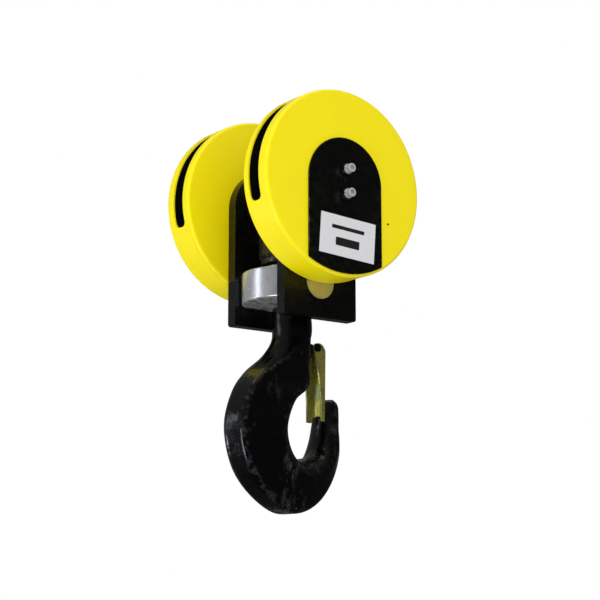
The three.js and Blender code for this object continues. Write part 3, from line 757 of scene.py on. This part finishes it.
def axle_pieces():
    low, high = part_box("sheave_axle")
    axle = chamfered_rod("through_axle", AXLE_RADIUS, low.y, high.y, 2 * MM)
    combine(axle, [
        rod("tapped", SCREW_SHANK + GAP, y - TAP_DEPTH, y + TAP_DEPTH, (0, side * AXLE_BOLT_OFFSET))
        for y in (low.y, high.y) for side in (1, -1)
    ])
    finished(axle, TURNED, "frame", "bare_steel", "sheave_axle")

    low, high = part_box("axle_sleeve")
    profile = ring_profile(AXLE_RADIUS + 2 * GAP, high.x, low.y, high.y, 2 * MM)
    finished(revolve("distance_sleeve", profile), BLACK, "frame", "black_paint", "axle_sleeve")


# ---- sheaves and bearings ----
def sheave(end):
    low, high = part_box("sheave_rear")
    radius = high.x
    middle = (low.y + high.y) / 2
    hub_half = (high.y - low.y) / 2
    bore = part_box("bearing_outer_ring_rear")[1].x + GAP
    hub, web, rim_half, web_half, fillet = 84 * MM, 162 * MM, 20 * MM, 9 * MM, 6 * MM
    flank = 67.5
    arc_end = ROPE_LINE - GROOVE_RADIUS * math.cos(math.radians(flank))
    mouth = GROOVE_RADIUS * math.sin(math.radians(flank))
    mouth += (radius - arc_end) * math.tan(math.radians(90 - flank))
    half = [
        (bore, hub_half - MM), (bore + MM, hub_half), (hub - 2 * MM, hub_half), (hub, hub_half - 2 * MM),
        *arc((hub + fillet, web_half + fillet), fillet, 180, 270, 6),
        *arc((web + 2 * MM, web_half + fillet), fillet, 270, 345, 6),
        (web + 9 * MM, rim_half - MM), (web + 10 * MM, rim_half), (radius - MM, rim_half),
        (radius, rim_half - MM), (radius, mouth + MM), (radius - MM, mouth),
    ]
    groove = arc((ROPE_LINE, 0), GROOVE_RADIUS, 180 - flank, 180 + flank, 24)
    profile = half + groove + [(r, -y) for r, y in reversed(half)]
    wheel = revolve(f"rope_sheave_{end}", profile)
    wheel.data.transform(Matrix.Translation((0, middle, 0)))
    return finished(wheel, CAST, f"{end}_sheave", "cast_iron", f"sheave_{end}", at=TURNED_TO[end])


def turned_rings(end):
    on_axle = AXLE_RADIUS + 2 * GAP
    race, wheel = (0.8 * MM, BEARING, "bearing_steel"), f"{end}_sheave"
    turned_ring(end, "inner_race", "bearing_inner_ring", on_axle, *race)
    turned_ring(end, "outer_race", "bearing_outer_ring", BEARING_BORE, *race, wheel)
    for place in ("inner", "outer"):
        spacer = (f"spacer_{place}", f"spacer_ring_{place}")
        turned_ring(end, *spacer, on_axle, 0.6 * MM, TURNED, "bare_steel")
    turned_ring(end, "bush", "trunnion_bush", TRUNNION_RADIUS + GAP, 1.0 * MM, BRONZE, "bronze")


# ---- crosshead, thrust bearing and nut ----
def crosshead():
    low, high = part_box("crosshead")
    radius = high.x
    bottom, top = low.z, high.z
    edge = 5 * MM
    drum = revolve("crosshead_body", [
        (0, bottom),
        *arc((radius - edge, bottom + edge), edge, -90, 0, 6),
        *arc((radius - edge / 2, top - edge / 2), edge / 2, 0, 90, 4),
        (0, top),
    ], axis="Z", closed=False)
    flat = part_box("side_plate_rear")[0].y - 2.7 * GAP
    middle = slab("flats", rectangle(-0.3, bottom - 0.1, 0.3, top + 0.1), -flat, flat)
    combine(drum, [middle], "INTERSECT")
    chamfer = 1.5 * MM
    trunnion = chamfered_rod("trunnions", TRUNNION_RADIUS, low.y, high.y, chamfer, MEDIUM)
    trunnion.data.transform(Matrix.Translation((0, 0, TRUNNION_AT.z)))
    combine(drum, [trunnion], "UNION")
    recess_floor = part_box("thrust_washer_lower")[0].z - GAP
    bore = rod("shank_bore", SHANK_BORE, bottom - MM, top + MM, facets=MEDIUM)
    recess = rod("bearing_recess", THRUST_RECESS, recess_floor, top + MM, facets=MEDIUM)
    for cutter in (bore, recess):
        cutter.data.transform(UPRIGHT)
    combine(drum, [bore, recess])
    bevelled(drum, 1.2 * MM, 3, 40)
    smooth(drum)
    use(drum, MACHINED, ROUGH, END_REFLECTION)
    paint_faces(drum, 1, lambda face: face.normal.z < -0.8 and face.center.z < bottom + edge)
    # The trunnions' end faces: gold, a painted reflection of the yellow covers.
    paint_faces(drum, 2, lambda face: abs(face.center.y) > high.y - 2 * chamfer)
    return settle(drum, "crosshead", "bare_steel", "crosshead")


def thrust_washers():
    for node, body, bore in (
        ("thrust_washer_lower", "crosshead", SHANK_BORE + GAP),
        ("thrust_washer_upper", "hook", SHANK_BORE - GAP),
    ):
        low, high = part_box(node)
        ring = revolve(f"{node}_ring", ring_profile(bore, high.x, low.z, high.z, 1.5 * MM), "Z", MEDIUM)
        finished(ring, OILED, body, "bearing_steel", node)


def nut_and_lock():
    low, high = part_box("hook_nut")
    chamfer, bore = 6 * MM, THREAD_RADIUS + GAP
    nut = revolve("round_nut", [
        (bore, low.z), (NUT_RADIUS - chamfer, low.z), (NUT_RADIUS, low.z + chamfer),
        (NUT_RADIUS, high.z - chamfer), (NUT_RADIUS - chamfer, high.z), (bore, high.z),
    ], "Z")
    cutters = []
    for quarter in range(4):
        slot = slab("spanner_slot", rectangle(NUT_RADIUS - 7 * MM, 0, 100 * MM, 0.5), -6 * MM, 6 * MM)
        slot.data.transform(Matrix.Translation((0, 0, low.z - 2 * MM)))
        slot.data.transform(Matrix.Rotation(math.pi / 4 + quarter * math.pi / 2, 4, "Z"))
        cutters.append(slot)
    combine(nut, cutters)
    bevelled(nut, 0.8 * MM, 2, 50)
    finished(nut, OILED, "hook", "bare_steel", "hook_nut", at=WITH_HOOK)

    low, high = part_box("nut_lock_bar")
    bar = slab("locking_bar", rectangle(-65 * MM, low.z, 65 * MM, high.z), -11 * MM, 11 * MM)
    bevelled(bar, 1.2 * MM, 3, 50)
    finished(bar, OILED, "hook", "zinc_plate", "nut_lock_bar", at=WITH_HOOK)
    for place, side in (("tip_side", 1), ("back_side", -1)):
        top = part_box(f"lock_screw_{place}")[1].z
        screw = revolve(f"cap_screw_{place}", [
            (0, top - 5 * MM), (8 * MM, top - 5 * MM),
            *arc((6.5 * MM, top - 1.5 * MM), 1.5 * MM, 0, 90, 4),
            (4 * MM, top), (4 * MM, top - 2.5 * MM), (0, top - 2.5 * MM),
        ], "Z", 48, closed=False)
        screw.data.transform(Matrix.Translation((side * 51 * MM, 0, 0)))
        finished(screw, OILED, "hook", "zinc_plate", f"lock_screw_{place}", at=WITH_HOOK)


# ---- hook ----
# Forged sections in millimetres, from the shank to the tip, in the hook's plane. Across (u) and up (z)
# are measured from the centre of the bowl. Each row says: inner u, inner z, outer u, outer z, width,
# length of the rounded inner side, half width of the flat outer side, radius of that side's two corners.
HOOK_SECTIONS = [
    (47.5, 298, -47.5, 298, 95, 47.5, 47.5, 47.5),
    (47.5, 225, -47.5, 225, 95, 47.5, 47.5, 47.5),
    (41, 160, -76, 180, 99, 46, 46, 34),
    (32, 106, -146, 128, 112, 44, 40, 22),
    (-29, 62, -188, 81, 124, 42, 37, 17),
    (-60, 0, -217, -2, 127, 42, 36, 16),
    (-54, -32, -193, -94, 125, 42, 36, 16),
    (-31, -59, -136, -153, 118, 40, 37, 17),
    (0, -70, -26, -200, 110, 38, 38, 18),
    (36, -64, 62, -178, 103, 36, 36, 17),
    (76, -52, 131, -115, 95, 34, 33, 16),
    (97, -15, 163, -39, 87, 32, 30, 15),
    (108, 32, 155, 8, 77, 28, 27, 14),
    (113, 78, 165, 74, 64, 24, 23, 13),
    (122, 87, 148, 90, 41, 14, 14, 12),
]
SECTION_POINTS = 72
STEPS_PER_SECTION = 10


def centripetal(values, t):
    """A point on a centripetal Catmull-Rom curve; each stretch between values takes an equal share of t."""
    last = len(values) - 1
    place = min(int(t * last), last - 1)
    weight = t * last - place
    before = values[place - 1] if place > 0 else 2 * values[0] - values[1]
    start, stop = values[place], values[place + 1]
    after = values[place + 2] if place + 2 <= last else 2 * values[last] - values[last - 1]
    pairs = ((before, start), (start, stop), (stop, after))
    first, own, third = (max((b - a).length_squared, 1e-12) ** 0.25 for a, b in pairs)
    tangent_start = ((start - before) / first - (stop - before) / (first + own) + (stop - start) / own) * own
    tangent_stop = ((stop - start) / own - (after - start) / (own + third) + (after - stop) / third) * own
    square, cube = weight ** 2, weight ** 3
    return (
        start * (2 * cube - 3 * square + 1) + tangent_start * (cube - 2 * square + weight)
        + stop * (3 * square - 2 * cube) + tangent_stop * (cube - square)
    )


def hook_section(inner, outer, width, corner):
    """The outline around an elliptical inner side and a narrower flat outer side with round corners."""
    depth = math.hypot(outer.x - inner.x, outer.z - inner.z)
    along = Vector(((outer.x - inner.x) / depth, 0, (outer.z - inner.z) / depth))
    nose, outer_half, half = inner.y, outer.y, width / 2
    outline = []
    for i in range(SECTION_POINTS):
        angle = 2 * math.pi * (i + 0.5) / SECTION_POINTS
        across, sideways = -math.cos(angle), math.sin(angle)
        reach = math.hypot(nose * across, half * sideways)
        on_inner = (nose + nose ** 2 * across / reach, half ** 2 * sideways / reach)
        corner_at = math.copysign(outer_half - corner, sideways)
        on_outer = (depth - corner + corner * across, corner_at + corner * sideways)
        p, q = max(on_inner, on_outer, key=lambda point: point[0] * across + point[1] * sideways)
        outline.append(Vector((inner.x, 0, inner.z)) + along * p + Vector((0, q, 0)))
    return outline


def evened(outline, count):
    """The same closed outline with its points spread evenly, from the middle of the inner side on."""
    start = (outline[0] + outline[-1]) / 2
    points = [start] + outline + [start]
    lengths = [0.0]
    for a, b in zip(points, points[1:]):
        lengths.append(lengths[-1] + (b - a).length)
    result = []
    stretch = 0
    for i in range(count):
        wanted = lengths[-1] * i / count
        while lengths[stretch + 1] < wanted:
            stretch += 1
        share = (wanted - lengths[stretch]) / max(lengths[stretch + 1] - lengths[stretch], 1e-9)
        result.append(points[stretch].lerp(points[stretch + 1], share))
    return result


def forged_body():
    inner = [Vector((u, nose, z)) for u, z, _, _, _, nose, _, _ in HOOK_SECTIONS]
    outer = [Vector((u, outer_half, z)) for _, _, u, z, _, _, outer_half, _ in HOOK_SECTIONS]
    widths = [Vector((section[4], section[7], 10 * i)) for i, section in enumerate(HOOK_SECTIONS)]
    steps = (len(HOOK_SECTIONS) - 1) * STEPS_PER_SECTION
    build = bmesh.new()
    rings = []
    for i in range(steps + 1):
        t = i / steps
        width = centripetal(widths, t)
        section = hook_section(centripetal(inner, t), centripetal(outer, t), width.x, width.y)
        points = evened(section, SECTION_POINTS)
        rings.append([build.verts.new(point * MM + Vector((0, 0, BOWL_HEIGHT))) for point in points])
    for low, high in zip(rings, rings[1:]):
        for i in range(SECTION_POINTS):
            j = (i + 1) % SECTION_POINTS
            build.faces.new([low[i], low[j], high[j], high[i]])
    build.faces.new(rings[0])
    build.faces.new(rings[-1])
    bmesh.ops.recalc_face_normals(build, faces=build.faces)
    return object_from("forged_hook", build)


def hook_nose():
    """The lug that the latch turns on. It rises from below, clear of the shank."""
    u, z = LATCH_PIVOT.x, LATCH_PIVOT.z
    outline = [
        (20 * MM, z - 40 * MM), (46 * MM, z - 20 * MM),
        *arc((u, z), 13 * MM, 170, -60, 30),
        (20 * MM, z - 85 * MM),
    ]
    return slab("nose", outline, -NOSE_HALF_WIDTH, NOSE_HALF_WIDTH)


def raise_belly(body, lowest):
    """Squeezes the belly up a little where the remesh reaches lower than the CAD hook."""
    lift = lowest - min(vertex.co.z for vertex in body.data.vertices)
    if lift > 0:
        for vertex in body.data.vertices:
            depth = BOWL_HEIGHT - vertex.co.z
            if depth > 0:
                vertex.co.z += 1.05 * lift * depth / (BOWL_HEIGHT - lowest)


def hook():
    """The forging, remeshed so that the lug grows out of it. Returns the height where the shank begins."""
    body = forged_body()
    combine(body, [hook_nose()], "UNION")
    skin = body.modifiers.new("skin", "REMESH")
    skin.mode = "VOXEL"
    skin.voxel_size = 2.6 * MM
    soften = body.modifiers.new("soften", "SMOOTH")
    soften.factor = 0.5
    soften.iterations = 12
    applied(body)
    shoulder = max(vertex.co.z for vertex in body.data.vertices)
    eye = rod("eye", PIVOT_RADIUS + 0.6 * MM, -0.1, 0.1, (LATCH_PIVOT.x, LATCH_PIVOT.z))
    combine(body, [eye])
    raise_belly(body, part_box("hook")[0].z)
    finished(body, HOOK_BLACK, "hook", "black_paint", "hook", at=WITH_HOOK, angle=50)
    return shoulder


def shank(shoulder):
    """The turned shank above the forging: a journal, then thread, with a slot for the lock bar."""
    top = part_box("hook")[1].z
    nut_low, nut_high = (corner.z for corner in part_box("hook_nut"))
    root, fillet = shoulder - 12 * MM, 3 * MM
    turned = revolve("turned_shank", [
        (0, root), (JOURNAL_RADIUS + fillet, root), (JOURNAL_RADIUS + fillet, shoulder - 2 * MM),
        *arc((JOURNAL_RADIUS + fillet, shoulder + MM), fillet, 270, 180, 5),
        (JOURNAL_RADIUS, nut_low - 3 * MM), (THREAD_RADIUS, nut_low - 0.5 * MM),
        *threaded(THREAD_RADIUS, 4 * MM, nut_low, top - 4 * MM),
        (THREAD_RADIUS - 4 * MM, top), (0, top),
    ], "Z", MEDIUM, closed=False)
    slot_half = 11.6 * MM
    across = rectangle(-0.1, nut_high, 0.1, top + 0.05)
    combine(turned, [slab("lock_slot", across, -slot_half, slot_half)])
    return finished(turned, TURNED, "hook", "bare_steel", "hook", at=WITH_HOOK)


# ---- latch ----
def round_long_edges(obj, reach, radius):
    """Rounds a slab's long outer edges at distance reach, as a sheet's bends are."""
    build = bmesh.new()
    build.from_mesh(obj.data)
    long_edges = [
        edge for edge in build.edges
        if all(vertex.co.x > reach - 0.5 * MM for vertex in edge.verts)
        and abs(edge.verts[0].co.y - edge.verts[1].co.y) < MM
    ]
    bmesh.ops.bevel(build, geom=long_edges, offset=radius, segments=6, profile=0.5, affect="EDGES")
    build.to_mesh(obj.data)
    build.free()
    return obj


def latch_channel():
    """A sheet channel, open towards the throat, with cheeks deep at the pivot and shallow at the toe."""
    half = LATCH_HALF_WIDTH
    top_u, toe_u, toe_depth, length = 40 * MM, 37 * MM, 17 * MM, 178 * MM
    cap = [(-9, -4), (-8.5, 3), (-5, 9), (2, 12.5), (15, 14), (27, 9.5), (36, 0)]
    cheek = [(20, -130), (16.6, -92), (12.2, -70), (4, -42), (-4.8, -18)]
    outline = [
        *((u * MM, z * MM) for u, z in cap),
        (top_u, -12 * MM), (toe_u, -length), (toe_u - toe_depth, -length),
        *((u * MM, z * MM) for u, z in cheek),
    ]
    channel = round_long_edges(slab("sheet_latch", outline, -half, half), toe_u, 5 * MM)
    past_toe = -length - 5 * MM
    inside = slab("inside", [
        (top_u - LATCH_SHEET, -16 * MM), (20 * MM, 30 * MM), (-60 * MM, 30 * MM),
        (-60 * MM, past_toe), (toe_u - LATCH_SHEET, past_toe),
    ], LATCH_SHEET - half, half - LATCH_SHEET)
    round_long_edges(inside, toe_u - LATCH_SHEET, 2 * MM)
    notch = rod("toe_notch", half - LATCH_SHEET, -20 * MM, 20 * MM)
    at_toe = Matrix.Translation((toe_u, 0, -length)) @ Matrix.Diagonal((1, 1, 0.75, 1))
    notch.data.transform(at_toe @ Matrix.Rotation(math.pi / 2, 4, "Z"))
    bore = rod("pivot_bore", PIVOT_RADIUS + 0.6 * MM, -0.1, 0.1)
    combine(channel, [inside, notch, bore])
    bevelled(channel, 0.9 * MM, 3, 45)
    return finished(channel, YELLOW_ZINC, "latch", "yellow_zinc", "safety_latch", at=AT_PIVOT)


def latch_fasteners():
    half = LATCH_HALF_WIDTH + 2 * GAP
    corners = 21.1 * MM
    bolt = hexagon_head("pivot_bolt", corners, half, half + 7.5 * MM)
    bolt.data.transform(Matrix.Rotation(math.pi, 4, "Z"))
    combine(bolt, [rod("pivot_shank", PIVOT_RADIUS, -half - MM, half + 13 * MM)], "UNION")
    bevelled(bolt, 0.4 * MM, 2, 25)
    finished(bolt, BLACK, "hook", "black_paint", "latch_bolt", at=AT_PIVOT)

    nut = hexagon_head("pivot_nut", corners, half, half + 10 * MM)
    combine(nut, [rod("nut_bore", PIVOT_RADIUS + GAP, half - MM, half + 11 * MM)])
    bevelled(nut, 0.4 * MM, 2, 25)
    finished(nut, ZINC, "hook", "zinc_plate", "latch_nut", at=AT_PIVOT)


def latch_spring():
    """A torsion spring of two turns around the bolt, with one short leg."""
    coil, wire, turns, steps = 9.5 * MM, 1.25 * MM, 2, 96
    low, high = NOSE_HALF_WIDTH + 2 * MM, NOSE_HALF_WIDTH + 6 * MM
    curve = bpy.data.curves.new("torsion_spring", "CURVE")
    curve.dimensions = "3D"
    curve.bevel_depth = wire
    curve.bevel_resolution = 5
    curve.use_fill_caps = True
    points = []
    for i in range(steps + 1):
        angle = math.radians(-40) + turns * 2 * math.pi * i / steps
        points.append((coil * math.cos(angle), low + (high - low) * i / steps, coil * math.sin(angle)))
    points.append((22 * MM, high, -22 * MM))
    spline = curve.splines.new("POLY")
    spline.points.add(len(points) - 1)
    for point, place in zip(spline.points, points):
        point.co = (*place, 1)
    drawn = placed("spring_curve", curve)
    mesh = bpy.data.meshes.new_from_object(drawn.evaluated_get(bpy.context.evaluated_depsgraph_get()))
    bpy.data.objects.remove(drawn)
    spring = placed("torsion_spring", mesh)
    return finished(spring, BEARING, "hook", "bearing_steel", "latch_spring", at=AT_PIVOT, angle=60)


# ---- rating plate ----
def rounded_rectangle(width, height, radius, centre=(0, 0)):
    outline = []
    for x, z, start in ((1, 1, 0), (-1, 1, 90), (-1, -1, 180), (1, -1, 270)):
        corner = (centre[0] + x * (width / 2 - radius), centre[1] + z * (height / 2 - radius))
        outline += arc(corner, radius, start, start + 90, 6)
    return outline


def rating_plate():
    """A light plate with two plain dark bars where a real one is printed."""
    low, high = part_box("rating_plate")
    tilt = math.radians(4)
    width, height = 162.5 * MM, 97.5 * MM
    centre = (low + high) / 2
    place = Matrix.Translation((centre.x, 0, centre.z)) @ Matrix.Rotation(tilt, 4, "Y")
    sheet = slab("label_plate", rounded_rectangle(width, height, 1.5 * MM), low.y + 0.25 * MM, high.y)
    bevelled(sheet, 0.2 * MM, 2, 50)
    finished(sheet, LABEL, "frame", "label_sheet", "rating_plate", at=place)
    for name, bar_width, bar_height, at in (
        ("label_bar_upper", 96 * MM, 9 * MM, (0, 20 * MM)),
        ("label_bar_lower", 70 * MM, 20 * MM, (0, -14 * MM)),
    ):
        outline = rounded_rectangle(bar_width, bar_height, 2 * MM, at)
        bar = slab(name, outline, low.y + 0.1 * MM, low.y + 0.3 * MM)
        finished(bar, INK, "frame", "label_sheet", "rating_plate", at=place)


# ---- stage ----
def aim(obj, target):
    obj.rotation_euler = (Vector(target) - obj.location).to_track_quat("-Z", "Y").to_euler()


def area_light(name, location, target, size, power, glossy=True, colour=(1, 1, 1)):
    light = bpy.data.lights.new(name, "AREA")
    light.shape = "RECTANGLE"
    light.size, light.size_y = size
    light.energy = power
    light.color = colour
    made = placed(name, light)
    made.location = location
    made.visible_glossy = glossy
    made.visible_camera = False
    aim(made, target)


def sky(world):
    """White to the eye, and an even fill. Gloss mirrors a dark room instead, so black stays black."""
    world.use_nodes = True
    nodes, links = world.node_tree.nodes, world.node_tree.links
    background = nodes["Background"]
    background.inputs["Color"].default_value = (1, 1, 1, 1)
    across = nodes.new("ShaderNodeVectorMath")
    across.operation = "DOT_PRODUCT"
    across.inputs[1].default_value = (-0.45, 0.6, 0.8)
    links.new(nodes.new("ShaderNodeTexCoord").outputs["Generated"], across.inputs[0])
    mirrored = nodes.new("ShaderNodeMapRange")
    mirrored.interpolation_type = "SMOOTHSTEP"
    set_range(mirrored, -0.35, 0.6, 0.03, 0.18)
    links.new(across.outputs["Value"], mirrored.inputs["Value"])
    path = nodes.new("ShaderNodeLightPath")
    lit = nodes.new("ShaderNodeMix")
    lit.inputs[2].default_value = 0.54
    links.new(path.outputs["Is Glossy Ray"], lit.inputs[0])
    links.new(mirrored.outputs["Result"], lit.inputs[3])
    seen = nodes.new("ShaderNodeMix")
    seen.inputs[3].default_value = 1.0
    links.new(path.outputs["Is Camera Ray"], seen.inputs[0])
    links.new(lit.outputs[0], seen.inputs[2])
    links.new(seen.outputs[0], background.inputs["Strength"])


def stage():
    build = bmesh.new()
    bmesh.ops.create_grid(build, x_segments=4, y_segments=4, size=9)
    ground = object_from("studio_floor", build)
    ground.location.z = -1.3
    ground.visible_glossy = False
    use(ground, floor_surface())

    world = bpy.data.worlds.new("studio")
    bpy.context.scene.world = world
    sky(world)
    bpy.context.scene.view_settings.view_transform = "Standard"

    middle = (0, 0, -0.2)
    cool = (0.82, 0.88, 1.0)
    area_light("key", (-1.6, -2.8, 3.0), middle, (2.6, 2.6), 63, glossy=False)
    area_light("front", (-1.4, -4.2, 0.2), middle, (3.0, 3.0), 38, glossy=False)
    area_light("left", (-4.2, -0.6, 0.6), middle, (2.6, 2.6), 38, glossy=False)
    area_light("top", (0.2, 0.3, 3.2), middle, (3, 3), 22)
    area_light("edge", (-3.4, 1.9, 0.3), (0, 0, -0.5), (0.5, 1.8), 10, colour=cool)
    area_light("low", (-2.2, 1.8, -1.2), (0, 0, -0.6), (0.5, 0.4), 6, colour=cool)
    area_light("ridge", (-1.5, -0.25, -1.15), (0, 0, -0.6), (0.3, 0.8), 9, colour=cool)


def camera():
    """Stands at the front left, below the block, and looks slightly up, as the photograph was taken."""
    data = bpy.data.cameras.new("photo_camera")
    data.sensor_width = 36
    data.lens = 98.83
    made = placed("photo_camera", data)
    made.location = (-2.3157, -3.1906, -1.0346)
    heading, rise = math.radians(36.275), math.radians(11.262)
    level = math.cos(rise)
    forward = Vector((math.sin(heading) * level, math.cos(heading) * level, math.sin(rise)))
    aim(made, made.location + forward)
    bpy.context.scene.camera = made


def inner_pieces():
    """Pieces sealed inside keep their CAD shape, with a better finish."""
    for name, node in frame["nodes"].items():
        if name.startswith(("bearing_roller_cage", "circlip", "thrust_ball_cage")):
            use(node, BEARING)


camera()
stage()
for end in ENDS:
    outer_cover(end)
    inner_cover(end)
    side_plate(end)
    end_plate(end)
    axle_bolts(end)
    sheave(end)
    turned_rings(end)
axle_pieces()
crosshead()
thrust_washers()
nut_and_lock()
shank(hook())
latch_channel()
latch_fasteners()
latch_spring()
rating_plate()
inner_pieces()
